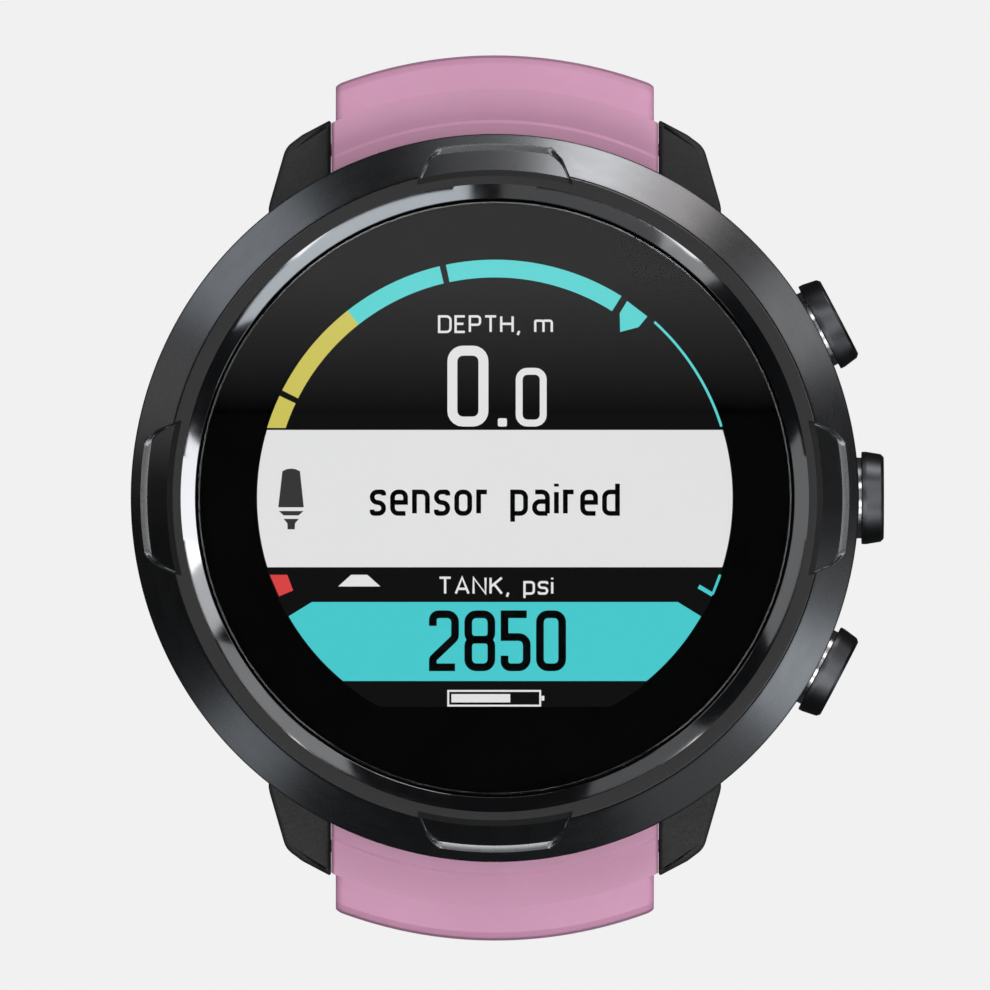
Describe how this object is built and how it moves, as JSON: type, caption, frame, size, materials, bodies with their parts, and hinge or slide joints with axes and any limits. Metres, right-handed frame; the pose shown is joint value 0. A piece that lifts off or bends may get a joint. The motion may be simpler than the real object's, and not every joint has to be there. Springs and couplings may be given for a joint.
{
  "type": "dive computer",
  "caption": "Wrist dive computer with a round steel bezel, lit round display, side push buttons and a pink silicone strap with a pin buckle, unbuckled.",
  "frame": {"origin": "centre of the flat case back", "axes": "+Z out through the crystal, +Y to 12 o'clock, +X to 3 o'clock, where the buttons are"},
  "size_m": [0.0549, 0.0646, 0.0705],
  "materials": {
    "case_plastic": "fine matte moulded composite",
    "bezel_steel": "black hard-coated steel, satin slope, polished chamfer",
    "button_black": "black hard-coated steel, semi-gloss",
    "buckle_black": "black hard-coated steel, satin",
    "bright_steel": "polished stainless steel",
    "brushed_back_steel": "circular brushed stainless steel",
    "crystal_glass": "polished mineral crystal",
    "display_black": "black display with lit graphics",
    "diffuser_white": "matte diffuser sheet",
    "grey_plastic": "moulded grey plastic",
    "circuit_board": "green solder mask",
    "chip_black": "moulded chip package",
    "battery_foil": "laminated foil pouch",
    "gold_contact": "gold plate",
    "black_rubber": "matte seal rubber",
    "pink_silicone": "soft matte silicone"
  },
  "bodies": {
    "case": {"mid_case": "case_plastic", "bezel_ring": "bezel_steel", "bezel_seal": "black_rubber", "crystal": "crystal_glass", "crystal_gasket": "black_rubber", "display_mask": "display_black", "display_panel": "display_black", "backlight_plate": "diffuser_white", "display_frame": "grey_plastic", "main_board": "circuit_board", "processor_chip": "chip_black", "radio_chip": "chip_black", "compass_chip": "chip_black", "battery": "battery_foil", "battery_tray": "grey_plastic", "vibration_motor": "bright_steel", "buzzer": "gold_contact", "pressure_sensor": "bright_steel", "pressure_sensor_seal": "black_rubber", "sensor_guard": "bezel_steel", "case_back": "brushed_back_steel", "case_back_seal": "black_rubber", "case_back_screw_1": "bright_steel", "case_back_screw_2": "bright_steel", "case_back_screw_3": "bright_steel", "case_back_screw_4": "bright_steel", "charging_contact_1": "gold_contact", "charging_contact_2": "gold_contact", "charging_contact_3": "gold_contact", "charging_contact_4": "gold_contact", "top_button_bush": "bright_steel", "top_button_seal": "black_rubber", "top_button_spring": "bright_steel", "top_tact_switch": "grey_plastic", "middle_button_bush": "bright_steel", "middle_button_seal": "black_rubber", "middle_button_spring": "bright_steel", "middle_tact_switch": "grey_plastic", "bottom_button_bush": "bright_steel", "bottom_button_seal": "black_rubber", "bottom_button_spring": "bright_steel", "bottom_tact_switch": "grey_plastic"},
    "top_button": {"top_button": "button_black", "top_button_clip": "bright_steel"},
    "middle_button": {"middle_button": "button_black", "middle_button_clip": "bright_steel"},
    "bottom_button": {"bottom_button": "button_black", "bottom_button_clip": "bright_steel"},
    "buckle_strap": {"buckle_strap": "pink_silicone", "strap_pin_12": "bright_steel", "fixed_keeper": "pink_silicone"},
    "hole_strap": {"hole_strap": "pink_silicone", "strap_pin_6": "bright_steel"},
    "release_pin_12": {"release_pin_12": "bright_steel"},
    "release_pin_6": {"release_pin_6": "bright_steel"},
    "buckle_frame": {"buckle_frame": "buckle_black", "buckle_pin": "bright_steel"},
    "buckle_tongue": {"buckle_tongue": "buckle_black"},
    "free_keeper": {"free_keeper": "pink_silicone"}
  },
  "joints": [
    {"name": "top_button_press", "type": "slide", "parent": "case", "child": "top_button", "axis": [-0.8858, -0.4641, 0], "range_m": [0, 0.0005], "stiffness_N_per_m": 800, "springref_m": -0.0008, "deforming": ["top_button_spring"]},
    {"name": "middle_button_press", "type": "slide", "parent": "case", "child": "middle_button", "axis": [-1, 0, 0], "range_m": [0, 0.0005], "stiffness_N_per_m": 800, "springref_m": -0.0008, "deforming": ["middle_button_spring"]},
    {"name": "bottom_button_press", "type": "slide", "parent": "case", "child": "bottom_button", "axis": [-0.8858, 0.4641, 0], "range_m": [0, 0.0005], "stiffness_N_per_m": 800, "springref_m": -0.0008, "deforming": ["bottom_button_spring"]},
    {"name": "buckle_strap_swing", "type": "hinge", "parent": "case", "child": "buckle_strap", "pos_m": [0, 0.0254, 0.0045], "axis": [1, 0, 0], "range_deg": [-5, 8]},
    {"name": "hole_strap_swing", "type": "hinge", "parent": "case", "child": "hole_strap", "pos_m": [0, -0.0254, 0.0045], "axis": [-1, 0, 0], "range_deg": [-4, 8]},
    {"name": "release_slide_12", "type": "slide", "parent": "buckle_strap", "child": "release_pin_12", "axis": [-1, 0, 0], "range_m": [0, 0.0012], "stiffness_N_per_m": 300, "springref_m": -0.001},
    {"name": "release_slide_6", "type": "slide", "parent": "hole_strap", "child": "release_pin_6", "axis": [-1, 0, 0], "range_m": [0, 0.0012], "stiffness_N_per_m": 300, "springref_m": -0.001},
    {"name": "buckle_swing", "type": "hinge", "parent": "buckle_strap", "child": "buckle_frame", "pos_m": [0, -0.004, -0.03295], "axis": [1, 0, 0], "range_deg": [-15, 15]},
    {"name": "tongue_swing", "type": "hinge", "parent": "buckle_frame", "child": "buckle_tongue", "pos_m": [0, -0.004, -0.03295], "axis": [1, 0, 0], "range_deg": [0, 45]},
    {"name": "keeper_slide", "type": "slide", "parent": "buckle_strap", "child": "free_keeper", "axis": [0, 1, 0], "range_m": [0, 0.004]}
  ]
}
